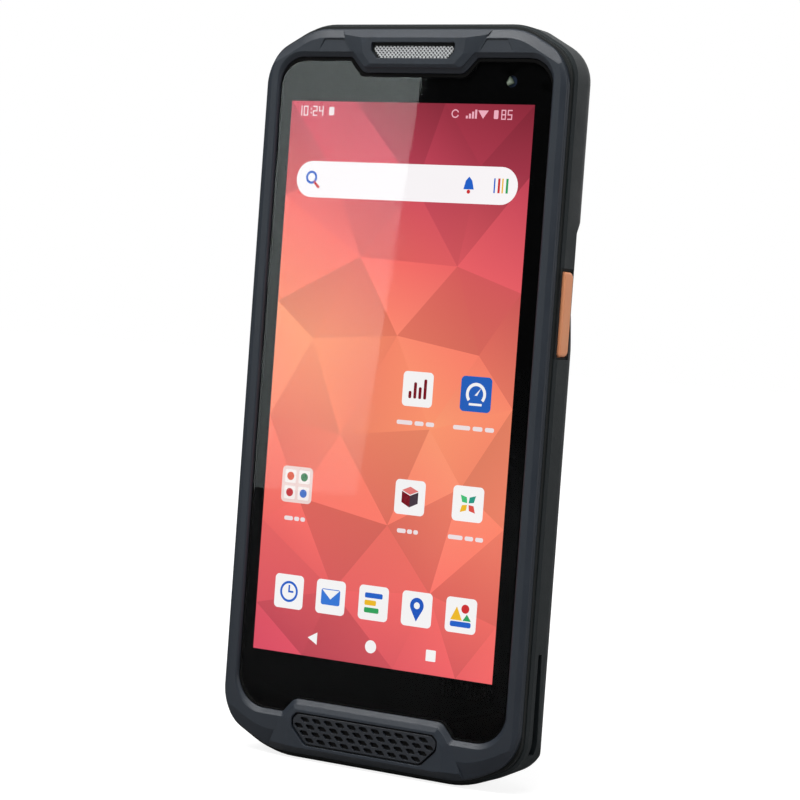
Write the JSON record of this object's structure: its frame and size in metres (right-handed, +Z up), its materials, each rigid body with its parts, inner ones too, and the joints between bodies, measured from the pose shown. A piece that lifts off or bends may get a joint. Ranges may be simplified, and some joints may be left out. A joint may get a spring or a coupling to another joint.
{
  "type": "handheld barcode data terminal",
  "caption": "rugged handheld data terminal with a touch screen, cut corners, orange side scan keys, chin loudspeaker grille, top scan window and a removable battery under a latched door",
  "frame": {"origin": "centre of the underside", "axes": "+Z runs up the terminal, the screen faces -Y, +X is to the reader's right"},
  "size_m": [0.0794, 0.015, 0.166],
  "materials": {
    "bezel_plastic": "satin moulded, blue-grey",
    "housing_plastic": "fine-textured charcoal",
    "seal_rubber": "matte black",
    "cover_glass": "polished, coated",
    "border_print": "black print",
    "adhesive": "foam tape",
    "screen": null,
    "backlight": "white tray",
    "flex_ribbon": "amber polyimide",
    "chassis_metal": "die-cast",
    "circuit_board": "solder mask",
    "chip_black": "moulded",
    "shield_steel": "tinned",
    "contact_gold": "gold plated",
    "scan_key_orange": "satin orange",
    "key_plastic": "satin charcoal",
    "grille_plastic": "satin moulded",
    "dust_cloth": "fine black cloth",
    "ear_mesh": "woven wire",
    "module_black": "moulded",
    "lens_glass": "coated",
    "flash_glass": "frosted",
    "scan_glass": "tinted dark red",
    "battery_wrap": "wrapped cell",
    "screw_steel": "blackened",
    "insert_brass": "knurled insert",
    "diode": "phosphor"
  },
  "bodies": {
    "terminal": {"front_bezel": "bezel_plastic", "rear_housing": "housing_plastic", "housing_seal": "seal_rubber", "cover_glass": "cover_glass", "border_film": "border_print", "glass_tape": "adhesive", "display_panel": "screen", "backlight_unit": "backlight", "display_flex": "flex_ribbon", "chassis_plate": "chassis_metal", "main_board": "circuit_board", "board_chips": "chip_black", "processor_shield": "shield_steel", "radio_shield": "shield_steel", "card_socket": "shield_steel", "battery_contacts": "contact_gold", "sub_board": "circuit_board", "link_flex": "flex_ribbon", "usb_socket": "shield_steel", "dock_contacts": "contact_gold", "vibration_motor": "shield_steel", "microphone": "shield_steel", "speaker_grille": "grille_plastic", "speaker_mesh": "dust_cloth", "loudspeaker": "module_black", "earpiece_mesh": "ear_mesh", "earpiece_gasket": "seal_rubber", "earpiece_receiver": "module_black", "front_camera": "module_black", "front_camera_lens": "lens_glass", "rear_camera": "module_black", "rear_camera_window": "lens_glass", "flash_led": "diode", "flash_lens": "flash_glass", "scan_engine": "module_black", "scan_engine_lenses": "lens_glass", "scan_window": "scan_glass", "key_seals": "seal_rubber", "key_switches": "chip_black", "key_switch_boards": "circuit_board", "wifi_antenna": "flex_ribbon", "cell_antenna": "flex_ribbon", "housing_screws": "screw_steel", "board_screws": "screw_steel", "grip_inserts": "insert_brass"},
    "scan_key_right": {"scan_key_right": "scan_key_orange"},
    "scan_key_left": {"scan_key_left": "scan_key_orange"},
    "volume_down_key": {"volume_down_key": "key_plastic"},
    "volume_up_key": {"volume_up_key": "key_plastic"},
    "power_key": {"power_key": "key_plastic"},
    "battery_door": {"battery_door": "housing_plastic", "door_seal": "seal_rubber", "nfc_coil": "flex_ribbon"},
    "battery": {"battery_pack": "battery_wrap", "battery_terminals": "contact_gold"},
    "door_latch": {"door_latch": "key_plastic"}
  },
  "joints": [
    {"name": "scan_right_press", "type": "slide", "parent": "terminal", "child": "scan_key_right", "axis": [-1, 0, 0], "range_m": [0, 0.0005], "stiffness_N_per_m": 600, "springref_m": -0.003},
    {"name": "scan_left_press", "type": "slide", "parent": "terminal", "child": "scan_key_left", "axis": [1, 0, 0], "range_m": [0, 0.0005], "stiffness_N_per_m": 600, "springref_m": -0.003},
    {"name": "volume_down_press", "type": "slide", "parent": "terminal", "child": "volume_down_key", "axis": [1, 0, 0], "range_m": [0, 0.0005], "stiffness_N_per_m": 600, "springref_m": -0.003},
    {"name": "volume_up_press", "type": "slide", "parent": "terminal", "child": "volume_up_key", "axis": [1, 0, 0], "range_m": [0, 0.0005], "stiffness_N_per_m": 600, "springref_m": -0.003},
    {"name": "power_press", "type": "slide", "parent": "terminal", "child": "power_key", "axis": [1, 0, 0], "range_m": [0, 0.0005], "stiffness_N_per_m": 600, "springref_m": -0.003},
    {"name": "battery_lift", "type": "slide", "parent": "terminal", "child": "battery", "axis": [0, 1, 0], "range_m": [0, 0.012]},
    {"name": "door_lift", "type": "slide", "parent": "terminal", "child": "battery_door", "axis": [0, 1, 0], "range_m": [0, 0.024]},
    {"name": "latch_slide", "type": "slide", "parent": "battery_door", "child": "door_latch", "axis": [0, 0, -1], "range_m": [0, 0.0025]}
  ],
  "couplings": [
    {"joint": "door_lift", "follows": "battery_lift", "ratio": 2}
  ]
}
